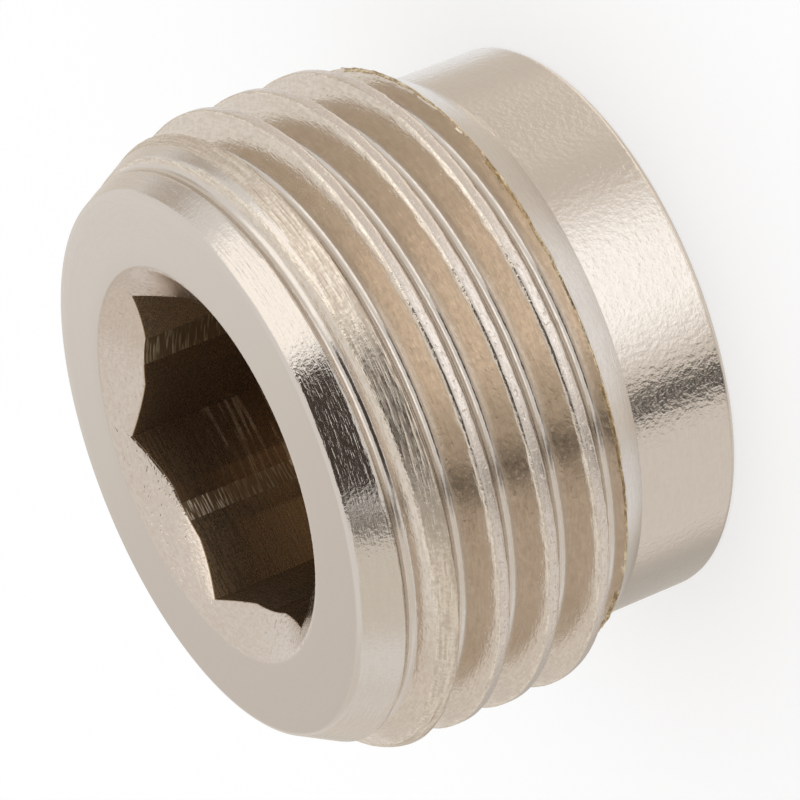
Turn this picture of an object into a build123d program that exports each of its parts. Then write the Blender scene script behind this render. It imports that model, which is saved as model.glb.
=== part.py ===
from build123d import *
from math import ceil, cos, radians, tan
import os

# Hex socket plug with a G 1/2 parallel pipe thread, turned from one piece of brass bar.
# Millimetres.  The plug stands on its plain nose: the origin is the centre of the nose's end
# face and +Z runs up the axis, out of the socket.  Two of the socket's corners lie on X.

# ---- thread -------------------------------------------------------------------------------
major_diameter = 20.90          # over the crests; the standard allows 20.67 to 20.96
pitch = 1.814                   # 14 turns to the inch
flank_half_angle = 27.5         # degrees
crest_flat_ratio = 0.21         # flat left by the bar's turned skin, as a share of the pitch
root_flat_ratio = 0.165         # flat at the root from the tool's blunt nose, likewise
groove_start_height = 2.02      # the cutter's centre line as it passes +X, under the thread

# ---- lengths along the axis ---------------------------------------------------------------
threaded_length = 10.22         # socket face to the foot of the nose chamfer
nose_length = 3.53              # plain cylinder under the thread

# ---- chamfers and edges -------------------------------------------------------------------
lead_in_clearance = 0.39        # the lead-in chamfer starts this far inside the thread's root
lead_in_angle = 28.0            # degrees from the axis
nose_clearance = 0.236          # the nose is this much smaller in radius than the root
nose_chamfer_angle = 33.0       # degrees from the axis
face_edge_radius = 0.30         # soft edge round the socket face
nose_edge_chamfer = 0.14

# ---- socket -------------------------------------------------------------------------------
key_size = 10.0                 # across the flats of the key
key_clearance = 0.25
socket_depth = 7.0              # broached depth, from the socket face
pilot_oversize = 0.17           # the pilot bore is wider than the flats, so it marks each wall
pilot_extra_depth = 1.0         # room for the broach's chips under the hexagon
drill_point_angle = 118.0
mouth_margin = 0.57             # countersink, beyond the hexagon's corners
mouth_angle = 110.0

# ---- sizes that follow --------------------------------------------------------------------
total_length = nose_length + threaded_length
major_radius = major_diameter / 2
flank_slope = tan(radians(flank_half_angle))
groove_half_width = pitch * (1 - crest_flat_ratio) / 2
root_half_width = pitch * root_flat_ratio / 2
thread_depth = (groove_half_width - root_half_width) / flank_slope
thread_root_radius = major_radius - thread_depth

face_radius = thread_root_radius - lead_in_clearance
lead_in_length = (major_radius - face_radius) / tan(radians(lead_in_angle))
nose_radius = thread_root_radius - nose_clearance
nose_chamfer_length = (major_radius - nose_radius) / tan(radians(nose_chamfer_angle))

across_flats = key_size + key_clearance
corner_radius = across_flats / 2 / cos(radians(30))
mouth_radius = corner_radius + mouth_margin
pilot_radius = (across_flats + pilot_oversize) / 2
pilot_depth = socket_depth + pilot_extra_depth
drill_point_length = pilot_radius / tan(radians(drill_point_angle / 2))

# The thread cutter is a little taller than the groove, and its turns stay clear of each other.
cutter_overrun = 0.4 * (pitch / 2 - groove_half_width) / flank_slope
cutter_outer_radius = major_radius + cutter_overrun
cutter_half_width = groove_half_width + cutter_overrun * flank_slope
groove_half_turns = ceil(2 * (total_length + cutter_half_width - groove_start_height) / pitch)


# Half a turn of the thread's groove, a little taller than the crests.
with BuildPart() as groove_cutter:
    with BuildLine():
        groove_path = Helix(pitch, pitch / 2, major_radius, center=(0, 0, groove_start_height))
    with BuildSketch(Plane.XZ):
        with BuildLine():
            Polyline(
                (thread_root_radius, groove_start_height - root_half_width),
                (thread_root_radius, groove_start_height + root_half_width),
                (cutter_outer_radius, groove_start_height + cutter_half_width),
                (cutter_outer_radius, groove_start_height - cutter_half_width),
                close=True,
            )
        make_face()
    sweep(path=groove_path, is_frenet=True)


with BuildPart() as plug_body:
    # turned body: nose, nose chamfer, crests, lead-in chamfer and socket face
    with BuildSketch(Plane.YZ):
        with BuildLine():
            Polyline(
                (0, 0),
                (nose_radius, 0),
                (nose_radius, nose_length),
                (major_radius, nose_length + nose_chamfer_length),
                (major_radius, total_length - lead_in_length),
                (face_radius, total_length),
                (0, total_length),
                close=True,
            )
        make_face()
    revolve(axis=Axis.Z)
    rims = plug_body.edges().filter_by(GeomType.CIRCLE).sort_by(Axis.Z)
    chamfer(rims[0], nose_edge_chamfer)
    fillet(rims[-1], face_edge_radius)

    # right-hand thread, which runs out through both chamfers
    for half_turn in range(groove_half_turns):
        with Locations(Location((0, 0, half_turn * pitch / 2), (0, 0, half_turn * 180))):
            add(groove_cutter.part, mode=Mode.SUBTRACT)

    # pilot bore with its drill point, countersunk at the mouth, then the broached hexagon
    with Locations((0, 0, total_length)):
        CounterSinkHole(pilot_radius, mouth_radius, pilot_depth, mouth_angle)
    with Locations((0, 0, total_length - pilot_depth)):
        Cone(pilot_radius, 0, drill_point_length, rotation=(180, 0, 0),
             align=(Align.CENTER, Align.CENTER, Align.MIN), mode=Mode.SUBTRACT)
    with BuildSketch(Plane.XY.offset(total_length)):
        RegularPolygon(across_flats / 2, 6, major_radius=False)
    extrude(amount=-socket_depth, mode=Mode.SUBTRACT)

plug_body.part.label = "plug_body"
os.makedirs("parts", exist_ok=True)
export_step(plug_body.part, "parts/plug_body.step")

print(f"length {total_length:.2f}, nose diameter {2 * nose_radius:.3f}, "
      f"root diameter {2 * thread_root_radius:.3f}, face diameter {2 * face_radius:.3f}")
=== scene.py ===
import math

import bpy
import numpy as np
from mathutils import Matrix, Vector


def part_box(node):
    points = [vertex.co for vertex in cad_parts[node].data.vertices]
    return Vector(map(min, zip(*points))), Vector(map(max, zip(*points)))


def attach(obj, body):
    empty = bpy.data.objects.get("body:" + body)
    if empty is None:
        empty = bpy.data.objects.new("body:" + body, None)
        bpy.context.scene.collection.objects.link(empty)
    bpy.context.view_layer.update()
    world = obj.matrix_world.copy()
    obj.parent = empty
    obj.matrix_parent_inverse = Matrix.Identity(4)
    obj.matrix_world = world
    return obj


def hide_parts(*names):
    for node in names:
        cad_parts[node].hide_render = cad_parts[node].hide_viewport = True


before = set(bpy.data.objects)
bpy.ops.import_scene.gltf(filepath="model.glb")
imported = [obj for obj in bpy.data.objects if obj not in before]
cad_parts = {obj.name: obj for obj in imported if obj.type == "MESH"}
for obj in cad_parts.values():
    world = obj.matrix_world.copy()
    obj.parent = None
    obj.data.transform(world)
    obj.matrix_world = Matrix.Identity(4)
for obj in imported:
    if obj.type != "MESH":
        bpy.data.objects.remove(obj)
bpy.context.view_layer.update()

MM = 0.001
MICROMETRE = 1e-6

# ---- the plug's sizes, in millimetres and degrees ------------------------------------------
_, top_corner = (Vector(corner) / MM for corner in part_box("plug_body"))
LENGTH = top_corner.z
MAJOR_R = top_corner.x

PITCH = 1.814
FLANK_ANGLE = 27.5
FLANK_SLOPE = math.tan(math.radians(FLANK_ANGLE))
CREST_FLAT = 0.21 * PITCH
ROOT_FLAT = 0.165 * PITCH
GROOVE_START = 2.02
GROOVE_HALF = (PITCH - CREST_FLAT) / 2
ROOT_R = MAJOR_R - (GROOVE_HALF - ROOT_FLAT / 2) / FLANK_SLOPE

NOSE_LENGTH = 3.53
NOSE_CLEARANCE = 0.236
NOSE_R = ROOT_R - NOSE_CLEARANCE
NOSE_CONE = math.tan(math.radians(33))
NOSE_EDGE = 0.14

LEAD_IN_CLEARANCE = 0.39
LEAD_IN_ANGLE = 28
LEAD_CONE = math.tan(math.radians(LEAD_IN_ANGLE))
FACE_R = ROOT_R - LEAD_IN_CLEARANCE
FACE_EDGE = 0.30

FLATS = 10.25
SOCKET_DEPTH = 7.0
PILOT_OVERSIZE = 0.17
PILOT_R = (FLATS + PILOT_OVERSIZE) / 2
PILOT_DEPTH = 8.0
DRILL_SLOPE = math.tan(math.radians(59))
MOUTH_MARGIN = 0.57
MOUTH_R = FLATS / 2 / math.cos(math.radians(30)) + MOUTH_MARGIN
MOUTH_ANGLE = 55
MOUTH_SLOPE = math.tan(math.radians(MOUTH_ANGLE))

# how far broken edges are rounded
CREST_ROUND = 0.15
BODY_ROUND = 0.08
MOUTH_ROUND = 0.34
MOUTH_BREAK = 0.05
MOUTH_BREAK_INNER = 0.2 * MOUTH_BREAK

# the rounded root, which touches the flanks where the CAD's narrow root flat ends
ROOT_ROUND = ROOT_FLAT / 2 / math.tan(math.radians((90 - FLANK_ANGLE) / 2))
ROOT_HALF = ROOT_ROUND * math.cos(math.radians(FLANK_ANGLE))

# torn edges along the thread, which fade out over the smooth lead-in
SMOOTH_LEAD_IN = 1.75
TEAR_DEPTH = 0.05
TEAR_REACH = 0.12
TEAR_ONSET = 0.4
TEAR_LEAST = 0.15
TEAR_WAVES = ((31.7, 0.0), (57.3, 1.3), (97.9, 0.6), (151.1, 2.1))
EDGE_WIDTH = 0.05

# the burr where the last flank runs out on the nose's cone, from BURR_START under the crests
BURR_START = 0.05
BURR_FADE = 0.3
BURR_HEIGHT = 0.035
BURR_WIDTH = 0.10
BURR_TEAR = 0.7

# how far under the crests each cone's own finish starts, and how far down the face's finish
# reaches over its soft edge and into the mouth
NOSE_CONE_START = 0.03
WORN_CONE_START = 0.02
FACE_OVER_EDGE = 0.05
FACE_OVER_MOUTH = 0.005

# ---- mesh ----------------------------------------------------------------------------------
COLUMNS = 360
SHARP_ANGLE = 32
THREAD_MARGIN = 0.04        # between the threaded stretch and the face's soft edge
BORE_GAP = 0.0005           # keeps the pilot bore's rim off the walls' where the two meet
ZONES = ["face", "lead_in", "worn_cone", "crest", "edge", "flank", "root", "burr", "nose_cone",
         "nose", "end", "mouth", "wall", "painted_shade_wall", "painted_light_wall", "scored_painted_shade_glint_wall", "strip",
         "faint_strip", "bore"]

# The strip that the drill left bare in the middle of a wall shows its marks between these shares
# of its half width. The walls are counted anticlockwise from +X.
STRIPS = {0: (-1.0, 0.15), 1: (-0.38, 0.26), 3: (-1.0, 0.15), 4: (-0.4, 0.3), 5: (-1.0, 0.15)}
HALF_STRIP = math.acos(FLATS / 2 / PILOT_R)
# Walls whose drilled strips carry the stronger painted glints, with the half on the clockwise side
# of the strip painted darker as shade; then walls whose half on that side is painted lighter as
# light.
STRONG_GLINT_SIDES = (1, 4)
PAINTED_LIGHT_SIDES = (0, 3)


def column_angles():
    """Even columns, with those nearest the drilled strips' borders moved on to them."""
    step = 2 * math.pi / COLUMNS
    angles = np.arange(COLUMNS) * step
    for side in range(6):
        for border in (-HALF_STRIP, HALF_STRIP):
            angle = math.radians(30 + 60 * side) + border
            angles[round(angle / step) % COLUMNS] = angle
    return angles


def soft_min(a, b, k):
    """The lesser of two heights, with their crossing rounded over a difference of k."""
    h = np.clip(1 - np.abs(a - b) / k, 0, None)
    return np.minimum(a, b) - h * h * k / 4


def body_radius(z):
    """The turned body before its thread was cut."""
    nose_cone = NOSE_R + (z - NOSE_LENGTH) * NOSE_CONE
    lead_cone = FACE_R + (LENGTH - z) * LEAD_CONE
    turned = soft_min(soft_min(nose_cone, lead_cone, BODY_ROUND), MAJOR_R, BODY_ROUND)
    return np.where(z < LENGTH / 2, np.maximum(turned, NOSE_R), turned)


def groove_offset(phi, z):
    """Height above the nearest turn's groove centre, from minus to plus half a pitch."""
    return (z - GROOVE_START - PITCH * phi / (2 * math.pi) + PITCH / 2) % PITCH - PITCH / 2


def groove_radius(offset):
    """The thread's groove alone: a rounded root between two straight flanks."""
    flank = MAJOR_R + (np.abs(offset) - GROOVE_HALF) / FLANK_SLOPE
    inside = np.minimum(np.abs(offset), ROOT_HALF)
    root = ROOT_R + ROOT_ROUND - np.sqrt(ROOT_ROUND ** 2 - inside ** 2)
    return np.where(np.abs(offset) < ROOT_HALF, root, flank)


def ragged(angle):
    """Small irregular swing along the helix, mostly between minus and plus one."""
    return sum(np.sin(rate * angle + start) for rate, start in TEAR_WAVES) / 3


def outer_radius(phi, z):
    """The body with its thread cut: torn edges along the crests, and a burr where the last
    flank runs out on the nose's cone."""
    offset = groove_offset(phi, z)
    helix_angle = 2 * math.pi * (z - offset - GROOVE_START) / PITCH
    tear = ragged(helix_angle + np.sign(offset))
    body = body_radius(z)
    groove = groove_radius(offset)
    wear = TEAR_DEPTH * np.clip((LENGTH - z) / SMOOTH_LEAD_IN - TEAR_ONSET, TEAR_LEAST, 1)
    groove = groove + wear * tear * np.exp(-((groove - body) / TEAR_REACH) ** 2)
    cut = soft_min(body, groove, CREST_ROUND)
    on_cone = np.clip((MAJOR_R - BURR_START - body) / BURR_FADE, 0, 1)
    on_cone = on_cone * (z < LENGTH / 2) * (offset < 0)
    lip = np.exp(-((groove - body) / BURR_WIDTH) ** 2) * on_cone
    return np.minimum(cut + BURR_HEIGHT * (1 + BURR_TEAR * tear) * lip, MAJOR_R)


def thread_zone(x, y, z):
    """The finish at a point of the threaded stretch."""
    body = body_radius(z)
    offset = groove_offset(math.atan2(y, x), z)
    groove = groove_radius(offset)
    lower_end = z < LENGTH / 2
    below, near = offset < 0, abs(groove - body)
    if lower_end and below and body < MAJOR_R - BURR_START and near < BURR_WIDTH:
        return "burr"
    if abs(offset) < ROOT_HALF and groove < body:
        return "root"
    if below and near < EDGE_WIDTH and z < LENGTH - SMOOTH_LEAD_IN / 2:
        return "edge"
    if groove < body:
        return "flank"
    if lower_end and body < MAJOR_R - NOSE_CONE_START:
        return "nose_cone" if z > NOSE_LENGTH else "nose"
    if z > LENGTH - SMOOTH_LEAD_IN:
        return "lead_in"
    return "worn_cone" if z > LENGTH / 2 and body < MAJOR_R - WORN_CONE_START else "crest"


def spaced(*spans):
    """Offsets from each (start, end, steps), without the last end."""
    values = []
    for start, end, steps in spans:
        values += list(np.linspace(start, end, steps, endpoint=False))
    return values


def thread_rows():
    """Heights of one turn's rows, from the groove's centre. They are closest at the corner
    between flank and crest."""
    below_corner, above_corner = GROOVE_HALF - 0.08, GROOVE_HALF + 0.06
    rise = spaced((0, ROOT_HALF, 6), (ROOT_HALF, below_corner, 7),
                  (below_corner, above_corner, 5), (above_corner, PITCH / 2, 2))
    return [-value for value in reversed(rise[1:])] + rise + [PITCH / 2]


class Skin:
    """A closed skin of rings with the same columns, and a helical stretch between two of them."""

    def __init__(self):
        self.phi = column_angles()
        self.points = []
        self.faces = []
        self.zones = []
        self.last = None

    def add_ring(self, radius, z):
        radius = np.broadcast_to(radius, self.phi.shape)
        z = np.broadcast_to(z, self.phi.shape)
        first = len(self.points)
        self.points += list(zip(radius * np.cos(self.phi), radius * np.sin(self.phi), z))
        return list(range(first, first + COLUMNS))

    def add_tip(self, z):
        """A point on the axis, which stands for a whole ring."""
        self.points.append((0, 0, z))
        return [len(self.points) - 1] * COLUMNS

    def add_face(self, corners, zone):
        corners = list(dict.fromkeys(corners))
        if len(corners) > 2:
            self.faces.append(corners)
            self.zones.append(ZONES.index(zone))

    def join(self, lower, upper, zone):
        """Faces between two rings; zone is a name, or one name for each column."""
        zones = [zone] * COLUMNS if isinstance(zone, str) else zone
        for i in range(COLUMNS):
            n = (i + 1) % COLUMNS
            self.add_face([lower[i], lower[n], upper[n], upper[i]], zones[i])

    def ring(self, radius, z, zone):
        """The next ring, joined to the last one."""
        self.follow(self.add_ring(radius, z), zone)

    def tip(self, z, zone):
        """Closes the skin after the last ring, in a point on the axis."""
        self.follow(self.add_tip(z), zone)

    def follow(self, new, zone):
        """Goes on from a new ring or tip, with faces of one zone up to it."""
        if self.last is not None:
            self.join(self.last, new, zone)
        self.last = new

    def cap(self, z, zone):
        """Closes the skin before its first ring, in a point on the axis."""
        self.join(self.add_tip(z), list(range(COLUMNS)), zone)

    def thread(self, z_low, z_high):
        """The threaded stretch: rows that climb with the groove, cut off level at both ends."""
        offsets = thread_rows()
        turn_low = math.floor((z_low - PITCH - GROOVE_START) / PITCH) - 1
        turn_high = math.ceil((z_high - GROOVE_START) / PITCH) + 1
        low_ring = self.add_ring(outer_radius(self.phi, z_low), z_low)
        high_ring = self.add_ring(outer_radius(self.phi, z_high), z_high)
        rows = [self.thread_row(GROOVE_START + turn * PITCH + offset, low_ring, high_ring,
                                z_low, z_high)
                for turn in range(turn_low, turn_high) for offset in offsets]

        def corner(j, i):
            """A row's point in a column. After the last column, the row goes on as the one
            that starts a turn higher."""
            if i < COLUMNS:
                return rows[j][i]
            above = j + len(offsets)
            return rows[above][0] if above < len(rows) else high_ring[0]

        for j in range(len(rows) - 1):
            for i in range(COLUMNS):
                corners = [corner(j, i), corner(j, i + 1), corner(j + 1, i + 1), corner(j + 1, i)]
                middle = np.mean([self.points[c] for c in corners], axis=0)
                self.add_face(corners, thread_zone(*middle))
        self.join(self.last, low_ring, "nose")
        self.last = high_ring

    def thread_row(self, start, low_ring, high_ring, z_low, z_high):
        """One row's points, or the level rings' where it runs past them."""
        z = start + PITCH * self.phi / (2 * math.pi)
        radius = outer_radius(self.phi, z)
        row = []
        for i in range(COLUMNS):
            if z_low < z[i] < z_high:
                row.append(len(self.points))
                self.points.append((radius[i] * math.cos(self.phi[i]),
                                    radius[i] * math.sin(self.phi[i]), z[i]))
            else:
                row.append(low_ring[i] if z[i] <= z_low else high_ring[i])
        return row

    def to_object(self, name):
        mesh = bpy.data.meshes.new(name)
        mesh.from_pydata([Vector(p) * MM for p in self.points], [], self.faces)
        mesh.polygons.foreach_set("material_index", self.zones)
        mesh.shade_smooth()
        mesh.set_sharp_from_angle(angle=math.radians(SHARP_ANGLE))
        mesh.validate()
        obj = bpy.data.objects.new(name, mesh)
        bpy.context.scene.collection.objects.link(obj)
        return obj


def arc(center_r, center_z, radius, start, end, steps):
    """(r, z) along an arc, with the angles in degrees from straight up, towards the outside."""
    for angle in np.radians(np.linspace(start, end, steps + 1)):
        yield center_r + radius * math.sin(angle), center_z + radius * math.cos(angle)


def socket_zones(phi):
    """Each column's finish on the walls: the drill's marks show on the strips given in STRIPS, and
    halves of the walls are painted darker or lighter than the wall's brown, as painted shade and
    painted light."""
    zones = []
    for angle in phi + math.pi / COLUMNS:
        side = int(angle // math.radians(60))
        across = angle - math.radians(60 * side + 30)
        low, high = STRIPS.get(side, (0, 0))
        if low * HALF_STRIP < across < high * HALF_STRIP:
            zones.append("strip" if side in STRONG_GLINT_SIDES else "faint_strip")
        # Halves of the walls get the brown painted darker as shade, or lighter as light.
        elif side in STRONG_GLINT_SIDES and across < 0:
            zones.append("scored_painted_shade_glint_wall")
        elif side in PAINTED_LIGHT_SIDES and across < 0:
            zones.append("painted_light_wall")
        else:
            zones.append("painted_shade_wall" if (across > 0) == (side % 2 == 0) else "wall")
    return zones


def add_nose(skin):
    """The end face, its softened edge chamfer and the nose."""
    for radius in (0.02, 2.0, 4.5, 7.0):
        skin.ring(radius, 0.0, "end")
    for inset, z in ((NOSE_EDGE + 0.06, 0.0), (NOSE_EDGE, 0.012), (NOSE_EDGE - 0.03, 0.035),
                     (0.035, NOSE_EDGE - 0.03), (0.012, NOSE_EDGE), (0.0, NOSE_EDGE + 0.06)):
        skin.ring(NOSE_R - inset, z, "end")
    for z in (NOSE_EDGE + 0.12, 1.2, 2.4, NOSE_LENGTH - 0.02):
        skin.ring(NOSE_R, z, "nose")


def add_thread_and_face(skin):
    """The thread with its crests and chamfers, the face's soft edge, and the face."""
    edge_arc = 90 - LEAD_IN_ANGLE
    edge_reach = FACE_EDGE * math.tan(math.radians(edge_arc / 2))
    edge_foot = LENGTH - edge_reach * math.cos(math.radians(LEAD_IN_ANGLE))
    skin.thread(NOSE_LENGTH, edge_foot - THREAD_MARGIN)
    for radius, z in arc(FACE_R - edge_reach, LENGTH - FACE_EDGE, FACE_EDGE, edge_arc, 0, 8):
        skin.ring(radius, z, "lead_in" if z < LENGTH - FACE_OVER_EDGE else "face")
    for radius in (8.4, 7.8, 7.2):
        skin.ring(radius, LENGTH, "face")


def add_socket(skin):
    """The countersunk mouth, blended softly into the face, the broached walls down to the ledge
    where the broach stopped, and the pilot bore with its drill point."""
    blend_arc = 90 - MOUTH_ANGLE
    blend_center = MOUTH_R + MOUTH_ROUND * math.tan(math.radians(blend_arc / 2))
    for radius, z in arc(blend_center, LENGTH - MOUTH_ROUND, MOUTH_ROUND, 0, -blend_arc, 6):
        skin.ring(radius, z, "mouth" if z < LENGTH - FACE_OVER_MOUTH else "face")

    hexagon = FLATS / 2 / np.cos((skin.phi % math.radians(60)) - math.radians(30))
    wall = np.maximum(hexagon, PILOT_R)
    mouth_depth = (MOUTH_R - wall) / MOUTH_SLOPE
    mouth_z = LENGTH - mouth_depth
    for share in (0.25, 0.5):
        skin.ring(MOUTH_R + share * (wall - MOUTH_R), LENGTH - share * mouth_depth, "mouth")
    skin.ring(wall + MOUTH_BREAK, mouth_z + MOUTH_BREAK / MOUTH_SLOPE, "mouth")
    skin.ring(wall + MOUTH_BREAK_INNER, mouth_z - MOUTH_BREAK_INNER, "mouth")

    wall_zones = socket_zones(skin.phi)
    wall_top, ledge_z = mouth_z - MOUTH_BREAK, LENGTH - SOCKET_DEPTH
    for share in (0, 0.25, 0.5, 0.75, 1):
        skin.ring(wall, wall_top + share * (ledge_z - wall_top), wall_zones)

    bore_z = LENGTH - PILOT_DEPTH
    skin.ring(PILOT_R - BORE_GAP, ledge_z, "bore")
    skin.ring(PILOT_R - BORE_GAP, bore_z, "bore")
    for share in (0.5, 0.02):
        skin.ring(PILOT_R * share, bore_z - PILOT_R * (1 - share) / DRILL_SLOPE, "bore")
    skin.tip(bore_z - PILOT_R / DRILL_SLOPE, "bore")


def make_plug():
    skin = Skin()
    add_nose(skin)
    add_thread_and_face(skin)
    add_socket(skin)
    skin.cap(0, "end")
    return skin.to_object("plug")


# ---- materials -----------------------------------------------------------------------------
class Nodes:
    """Short hands for building a node tree."""

    def __init__(self, tree):
        self.tree = tree

    def add(self, kind, **settings):
        node = self.tree.nodes.new(kind)
        for name, value in settings.items():
            setattr(node, name, value)
        return node

    def feed(self, socket, value):
        if isinstance(value, bpy.types.NodeSocket):
            self.tree.links.new(value, socket)
        else:
            socket.default_value = value

    def math(self, operation, *values):
        node = self.add("ShaderNodeMath", operation=operation)
        for socket, value in zip(node.inputs, values):
            self.feed(socket, value)
        return node.outputs[0]

    def remap(self, value, low, high, to_low=0.0, to_high=1.0):
        """A smooth step from to_low to to_high as value goes from low to high."""
        node = self.add("ShaderNodeMapRange", interpolation_type="SMOOTHSTEP")
        for socket, number in zip(node.inputs, (value, low, high, to_low, to_high)):
            self.feed(socket, number)
        return node.outputs[0]

    def noise(self, vector, scale, detail=2.0, roughness=0.5, w=None):
        node = self.add("ShaderNodeTexNoise", noise_dimensions="3D" if w is None else "4D")
        self.feed(node.inputs["Vector"], vector)
        if w is not None:
            self.feed(node.inputs["W"], w)
        node.inputs["Scale"].default_value = scale
        node.inputs["Detail"].default_value = detail
        node.inputs["Roughness"].default_value = roughness
        return node.outputs["Fac"]

    def blend_color(self, factor, first, second):
        node = self.add("ShaderNodeMix", data_type="RGBA")
        self.feed(node.inputs["Factor"], factor)
        self.feed(node.inputs["A"], first)
        self.feed(node.inputs["B"], second)
        return node.outputs["Result"]

    def blend_shader(self, factor, first, second):
        node = self.add("ShaderNodeMixShader")
        for socket, value in zip(node.inputs, (factor, first, second)):
            self.feed(socket, value)
        return node.outputs[0]

    def emission(self, color, strength):
        node = self.add("ShaderNodeEmission")
        node.inputs["Color"].default_value = rgba(color)
        node.inputs["Strength"].default_value = strength
        return node.outputs[0]

    def coordinates(self, kind):
        return self.add("ShaderNodeTexCoord").outputs[kind]

    def split(self, vector):
        node = self.add("ShaderNodeSeparateXYZ")
        self.feed(node.inputs[0], vector)
        return node.outputs

    def position(self):
        """Object coordinates in millimetres."""
        node = self.add("ShaderNodeVectorMath", operation="SCALE")
        self.feed(node.inputs[0], self.coordinates("Object"))
        node.inputs["Scale"].default_value = 1 / MM
        return node.outputs[0]

    def turned(self, position, around):
        """A vector and a fourth coordinate for marks that run round the axis.

        Along the marks the pattern changes around / radius times as fast as across them."""
        x, y, z = self.split(position)
        radius = self.math("SQRT", self.math("ADD", self.math("MULTIPLY", x, x),
                                             self.math("MULTIPLY", y, y)))
        join = self.add("ShaderNodeCombineXYZ")
        self.feed(join.inputs[0], self.math("MULTIPLY", self.math("DIVIDE", x, radius), around))
        self.feed(join.inputs[1], self.math("MULTIPLY", self.math("DIVIDE", y, radius), around))
        self.feed(join.inputs[2], z)
        return join.outputs[0], radius


def rgba(color):
    return (*color, 1.0)


def new_material(name):
    material = bpy.data.materials.new(name)
    material.use_nodes = True
    return material, Nodes(material.node_tree)


def set_surface(material, nodes, surface):
    nodes.feed(material.node_tree.nodes["Material Output"].inputs[0], surface)


# the metal's patterns; each pair is the two noise values that a smooth step runs between
BROKEN = 0.6                            # how much of the streaks' and grains' finest waves shows
GRAIN_SHARE = 0.4                       # of the colour's pattern; the rest is streaks
DULL_ROUGHNESS, BRIGHT_ROUGHNESS = 1.25, 0.85
PIT_SCALE, PIT_NOISE = 6.0, (0.25, 0.42)
FLECK_AROUND, FLECK_NOISE = 2.2, (0.57, 0.66)
MARK_NOISE, MARK_HEIGHT = (0.50, 0.62), 3
MARK_FADE = (1.6, 0.4)                  # millimetres below and above the depth where marks begin
PATCH_SCALE, PATCH_NOISE, PATCH_LEAST = 0.9, (0.35, 0.60), 0.25


def mark_and_glint_amount(nodes, place, turned, lines, depth):
    """How strongly each spot of a socket wall is marked by the drill or broach, in patches that
    start at a depth; the marks are bumps, and their colour is a painted glint.
    """
    marks = nodes.noise(turned, lines, detail=1.0)
    patches = nodes.remap(nodes.noise(place, PATCH_SCALE), *PATCH_NOISE, PATCH_LEAST, 1.0)
    below, above = MARK_FADE
    height = nodes.split(place)[2]
    deep = nodes.remap(height, LENGTH - depth - below, LENGTH - depth + above, 1.0, 0.0)
    return nodes.math("MULTIPLY", nodes.remap(marks, *MARK_NOISE),
                      nodes.math("MULTIPLY", patches, deep))


def metal(name, colors, roughness, streak=0.0, streak_scale=14.0, grain=0.0, grain_scale=8.0,
          around=1.5, pits=0.0, spread=0.25, metallic=1.0, flecks=None, marks_and_glints=None):
    """Plated brass. The bumps' heights are in micrometres, and larger scales are finer.

    colors: the metal's colour, and the duller one that its pattern mixes in over spread;
    streak: marks that run round the axis; grain: fine wriggles; pits: small hollows;
    flecks: small worn spots, as their roughness and scale;
    rubbed: marks left by the drill or broach, raised as bumps and given a painted glint in their
    colour, as the glint's colour, their scale and the depth below the face at which they begin. A
    wall's radius changes along its marks, so it stays out of their pattern."""
    material, nodes = new_material(name)
    shader = material.node_tree.nodes["Principled BSDF"]
    shader.inputs["Metallic"].default_value = metallic
    place = nodes.position()
    turned, radius = nodes.turned(place, around)
    streaks = nodes.noise(turned, streak_scale, roughness=BROKEN, w=None if marks_and_glints else radius)
    grains = nodes.noise(place, grain_scale, roughness=BROKEN)
    tint = nodes.math("ADD", nodes.math("MULTIPLY", grains, GRAIN_SHARE),
                      nodes.math("MULTIPLY", streaks, 1 - GRAIN_SHARE))
    shade = nodes.remap(tint, 0.5 - spread / 2, 0.5 + spread / 2)
    bright, dull = colors
    color_out = nodes.blend_color(shade, rgba(dull), rgba(bright))
    roughness_out = nodes.remap(shade, 0.0, 1.0, roughness * DULL_ROUGHNESS,
                                roughness * BRIGHT_ROUGHNESS)
    height = nodes.math("MULTIPLY", streaks, streak)
    height = nodes.math("ADD", height, nodes.math("MULTIPLY", grains, grain))
    if pits:
        pit = nodes.remap(nodes.noise(place, PIT_SCALE), *PIT_NOISE, -1.0, 0.0)
        height = nodes.math("ADD", height, nodes.math("MULTIPLY", pit, pits))
    if flecks:
        fleck_roughness, fleck_scale = flecks
        spots = nodes.noise(nodes.turned(place, FLECK_AROUND)[0], fleck_scale, roughness=BROKEN,
                            w=radius)
        worn = nodes.math("MULTIPLY", nodes.remap(spots, *FLECK_NOISE), fleck_roughness)
        roughness_out = nodes.math("MAXIMUM", roughness_out, worn)
    # Marks from the drill or broach: real bumps, with a painted glint mixed into the colour.
    if marks_and_glints:
        glint_color, lines, depth = marks_and_glints
        amount = mark_and_glint_amount(nodes, place, turned, lines, depth)
        color_out = nodes.blend_color(amount, color_out, rgba(glint_color))
        height = nodes.math("ADD", height, nodes.math("MULTIPLY", amount, MARK_HEIGHT))
    nodes.feed(shader.inputs["Base Color"], color_out)
    nodes.feed(shader.inputs["Roughness"], roughness_out)
    bump = nodes.add("ShaderNodeBump")
    bump.inputs["Strength"].default_value = 1
    bump.inputs["Distance"].default_value = MICROMETRE
    nodes.feed(bump.inputs["Height"], height)
    nodes.feed(shader.inputs["Normal"], bump.outputs[0])
    return material


# each metal's colour, and its duller one
NICKEL = (0.67, 0.62, 0.57), (0.65, 0.60, 0.55)
WORN = (0.75, 0.695, 0.65), (0.66, 0.60, 0.555)
RUBBED = (0.74, 0.67, 0.58), (0.56, 0.48, 0.40)
TORN = (0.80, 0.725, 0.62), (0.58, 0.51, 0.43)
THIN = (0.72, 0.65, 0.57), (0.63, 0.555, 0.475)
SATIN = (0.655, 0.585, 0.52), (0.60, 0.52, 0.45)
BURR = (0.74, 0.63, 0.43), (0.36, 0.27, 0.17)
BROWN = (0.36, 0.265, 0.17), (0.33, 0.24, 0.15)
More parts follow.
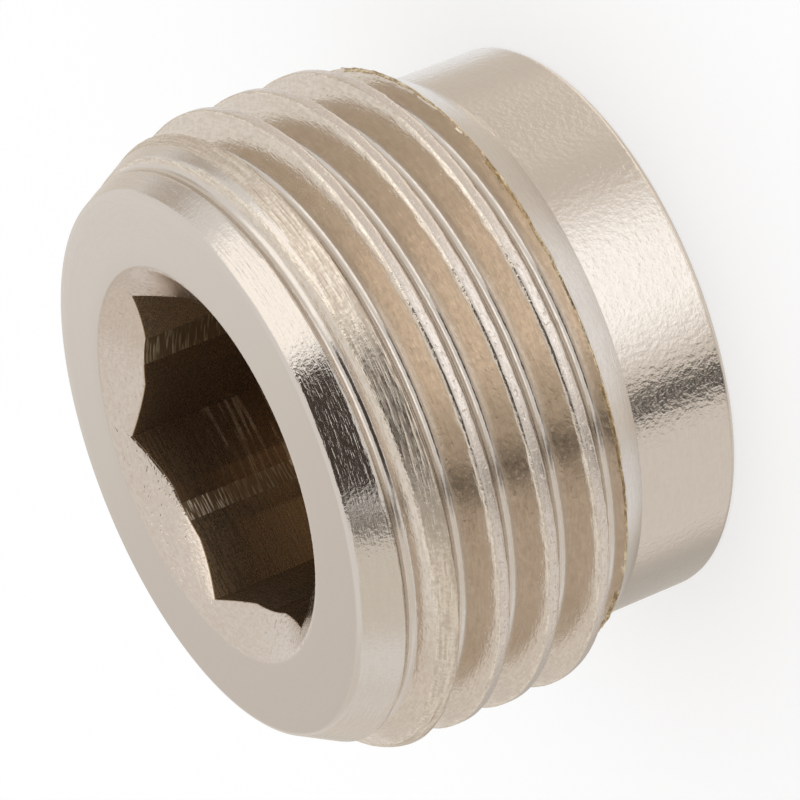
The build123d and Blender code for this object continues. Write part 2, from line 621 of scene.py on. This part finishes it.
# The next two are the walls' brown painted lighter, as painted light, and darker, as painted shade.
PAINTED_LIGHT_BROWN = (0.53, 0.40, 0.26), (0.49, 0.37, 0.235)
PAINTED_SHADE_BROWN = (0.28, 0.19, 0.115), (0.24, 0.16, 0.095)
BARE = (0.31, 0.22, 0.125), (0.28, 0.20, 0.115)

# what the socket's walls share, and what the strips in their middles share
WALL = dict(roughness=0.26, streak=4, grain=1, metallic=0.9)
STRIP = dict(roughness=0.34, grain=1, metallic=0.9, around=0.4)

FINISH = {
    "face": dict(colors=NICKEL, roughness=0.20, grain=0.6, spread=0.6),
    "lead_in": dict(colors=NICKEL, roughness=0.12, streak=15, streak_scale=12, grain=8,
                    around=0.8, flecks=(0.28, 16)),
    "worn_cone": dict(colors=RUBBED, roughness=0.30, streak=60, streak_scale=8, grain=9,
                      around=0.8, flecks=(0.50, 12)),
    "crest": dict(colors=WORN, roughness=0.28, streak=8, streak_scale=18, grain=6,
                  grain_scale=12, pits=14),
    "edge": dict(colors=TORN, roughness=0.20, grain=17, grain_scale=8),
    "flank": dict(colors=THIN, roughness=0.17, streak=7, grain=4, grain_scale=6, pits=4),
    "root": dict(colors=NICKEL, roughness=0.16, streak=5, grain=2),
    "burr": dict(colors=BURR, roughness=0.30, grain=30),
    "nose_cone": dict(colors=NICKEL, roughness=0.18, streak=3, grain=3),
    "nose": dict(colors=NICKEL, roughness=0.14, grain=14, grain_scale=5.5),
    "end": dict(colors=NICKEL, roughness=0.22, streak=6, grain=2),
    "mouth": dict(colors=SATIN, roughness=0.12, grain=12, pits=10),
    # On the socket's walls the marks' lighter colours are painted glints on real bumped marks, and
    # the darker and lighter browns are painted shade and painted light.
    "wall": dict(colors=BROWN, around=0.4, marks_and_glints=((0.50, 0.39, 0.27), 6, 5.0), **WALL),
    "painted_shade_wall": dict(colors=PAINTED_SHADE_BROWN, **WALL),
    "painted_light_wall": dict(colors=PAINTED_LIGHT_BROWN, **WALL),
    "scored_painted_shade_glint_wall": dict(colors=PAINTED_SHADE_BROWN, around=0.4, marks_and_glints=((0.66, 0.54, 0.40), 7, 2.4),
                        **WALL),
    "strip": dict(colors=BARE, marks_and_glints=((0.98, 0.88, 0.74), 15, -2), **STRIP),
    "faint_strip": dict(colors=BARE, marks_and_glints=((0.62, 0.52, 0.36), 13, -2), **STRIP),
    "bore": dict(colors=BROWN, roughness=0.30, streak=10, grain=3),
}

plug = make_plug()
for zone in ZONES:
    plug.data.materials.append(metal("nickel_" + zone, **FINISH[zone]))
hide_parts("plug_body")
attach(plug, "root")


# ---- studio, in metres ---------------------------------------------------------------------
CAMERA_AZIMUTH = -103.1
CARD_TARGET = Vector((0, 0, 0.007))     # half way up the plug
FLOOR_HALF = 3.0
FLOOR_OWN_WHITE = 0.55
ROOM_ABOVE = (0.92, 0.905, 0.885)
ROOM_BELOW = (0.79, 0.73, 0.655)
HORIZON = (-0.12, 0.10)
WHITE = (1, 1, 1)


def stage_mesh(name, corners, material):
    mesh = bpy.data.meshes.new(name)
    mesh.from_pydata(corners, [], [list(range(len(corners)))])
    mesh.materials.append(material)
    obj = bpy.data.objects.new(name, mesh)
    bpy.context.scene.collection.objects.link(obj)
    return obj


def rectangle(half_w, half_h):
    return [(-half_w, -half_h, 0), (half_w, -half_h, 0), (half_w, half_h, 0),
            (-half_w, half_h, 0)]


def make_floor():
    """White floor. FLOOR_OWN_WHITE of what the camera sees of it is its own white, which keeps
    the object's shadow faint. The metal sees the room's light in its place."""
    material, nodes = new_material("floor")
    shader = material.node_tree.nodes["Principled BSDF"]
    shader.inputs["Base Color"].default_value = rgba(WHITE)
    shader.inputs["Roughness"].default_value = 1
    shader.inputs["Specular IOR Level"].default_value = 0
    seen = nodes.add("ShaderNodeLightPath").outputs["Is Camera Ray"]
    set_surface(material, nodes, nodes.blend_shader(
        nodes.math("MULTIPLY", seen, FLOOR_OWN_WHITE), shader.outputs[0], nodes.emission(WHITE, 1)))
    floor = stage_mesh("floor", rectangle(FLOOR_HALF, FLOOR_HALF), material)
    floor.visible_glossy = False


def card_material(name, brightness, soft, color):
    """Light or dark card whose border fades out over the given share of its sides."""
    material, nodes = new_material(name)
    material.node_tree.nodes.remove(material.node_tree.nodes["Principled BSDF"])
    fades = []
    for side in nodes.split(nodes.coordinates("Generated"))[:2]:
        edge = nodes.math("MINIMUM", side, nodes.math("SUBTRACT", 1.0, side))
        fades.append(nodes.remap(edge, 0.0, soft))
    clear = nodes.add("ShaderNodeBsdfTransparent").outputs[0]
    set_surface(material, nodes, nodes.blend_shader(
        nodes.math("MULTIPLY", *fades), clear, nodes.emission(color, brightness)))
    return material


def only_in_reflections(obj):
    obj.visible_camera = obj.visible_diffuse = obj.visible_shadow = False
    obj.visible_transmission = obj.visible_volume_scatter = False


def make_card(name, aside, elevation, width, height, brightness, soft=0.25, color=WHITE,
              roll=0, distance=0.30):
    """A card that faces the plug. aside is its azimuth, anticlockwise from the camera's; width
    and height are the angles it fills, and roll turns it in its own plane, all in degrees."""
    corners = rectangle(distance * math.tan(math.radians(width / 2)),
                        distance * math.tan(math.radians(height / 2)))
    card = stage_mesh(name, corners, card_material(name, brightness, soft, color))
    azimuth, elevation = math.radians(CAMERA_AZIMUTH + aside), math.radians(elevation)
    away = Vector((math.cos(azimuth) * math.cos(elevation),
                   math.sin(azimuth) * math.cos(elevation), math.sin(elevation)))
    turn = Matrix.Rotation(math.radians(roll), 4, "Z")
    card.matrix_world = (Matrix.Translation(away * distance + CARD_TARGET)
                         @ away.to_track_quat("Z", "Y").to_matrix().to_4x4() @ turn)
    only_in_reflections(card)


def make_world():
    """White for the camera and the floor. In the metal the room is white above and a duller,
    warmer white below."""
    world = bpy.data.worlds.new("studio")
    bpy.context.scene.world = world
    world.use_nodes = True
    nodes = Nodes(world.node_tree)
    above = nodes.remap(nodes.split(nodes.coordinates("Generated"))[2], *HORIZON)
    room = nodes.blend_color(above, rgba(ROOM_BELOW), rgba(ROOM_ABOVE))
    glossy = nodes.add("ShaderNodeLightPath").outputs["Is Glossy Ray"]
    nodes.feed(world.node_tree.nodes["Background"].inputs["Color"],
               nodes.blend_color(glossy, rgba(WHITE), room))


make_floor()
make_world()

# name, aside, elevation, width, height, brightness: first what stands round the plug ...
make_card("softbox", 56, 42, 66, 62, 1.42, soft=0.2, color=(1, 0.97, 0.93))
make_card("flag", -7, 46, 54, 54, 0.06, soft=0.12, color=(1, 0.76, 0.60))
make_card("post", -44, 17, 16, 58, 0.18, soft=0.35, color=(1, 0.86, 0.73), distance=0.29)
make_card("far_wall", 115, 8, 44, 32, 0.60, soft=0.45, color=(1, 0.90, 0.80))
make_card("near_wall", -72, 26, 56, 50, 0.80, soft=0.3, color=(1, 0.94, 0.84))
make_card("back_wall", 216, 26, 76, 50, 0.82, soft=0.25, color=(1, 0.94, 0.88))
make_card("face_wall", 194, 22, 34, 30, 0.74, soft=0.2, color=(1, 0.94, 0.88))
# ... and then what lies below it
make_card("table_light", 6.5, -24, 78, 34, 1.5, soft=0.40)
make_card("table_glow", -82, -25, 70, 30, 0.88, soft=0.2, color=(1, 0.94, 0.88), distance=0.31)
make_card("table_edge", -46, -36, 16, 60, 0.04, soft=0.4, roll=-22, distance=0.29)
make_card("table_front", 18, -47, 58, 20, 1.56, soft=0.3, color=(1, 0.92, 0.83))
make_card("table_side", 84, -47, 80, 20, 1.42, soft=0.2, color=(1, 0.92, 0.83))
make_card("table_rim", 86, -34, 54, 18, 1.0, soft=0.3, color=(1, 0.92, 0.83), distance=0.31)
make_card("table_far", 160, -34, 44, 36, 0.96, soft=0.3)
make_card("table_near", -145, -30, 60, 44, 0.58, soft=0.3, color=(1, 0.94, 0.86))
make_card("table_corner", -130, -58, 44, 26, 0.92, soft=0.35)
make_card("table_below", 0, -89, 44, 44, 1.1, soft=0.35, distance=0.28)

# ---- camera, worked out from the photo's perspective ---------------------------------------
CAMERA_POSITION = Vector((-42.557, -181.271, 91.607)) * MM
CAMERA_FORWARD = Vector((0.20619, 0.88625, -0.41478))
CAMERA_UP = Vector((0.86837, -0.3611, -0.3399))


def make_camera():
    data = bpy.data.cameras.new("camera")
    data.lens = 292.5
    data.sensor_width = 36
    data.clip_start, data.clip_end = 0.01, 10
    camera = bpy.data.objects.new("camera", data)
    bpy.context.scene.collection.objects.link(camera)
    bpy.context.scene.camera = camera
    forward = CAMERA_FORWARD.normalized()
    right = forward.cross(CAMERA_UP).normalized()
    axes = Matrix((right, right.cross(forward), -forward)).transposed()
    camera.matrix_world = Matrix.Translation(CAMERA_POSITION) @ axes.to_4x4()


make_camera()
bpy.context.scene.view_settings.view_transform = "Standard"
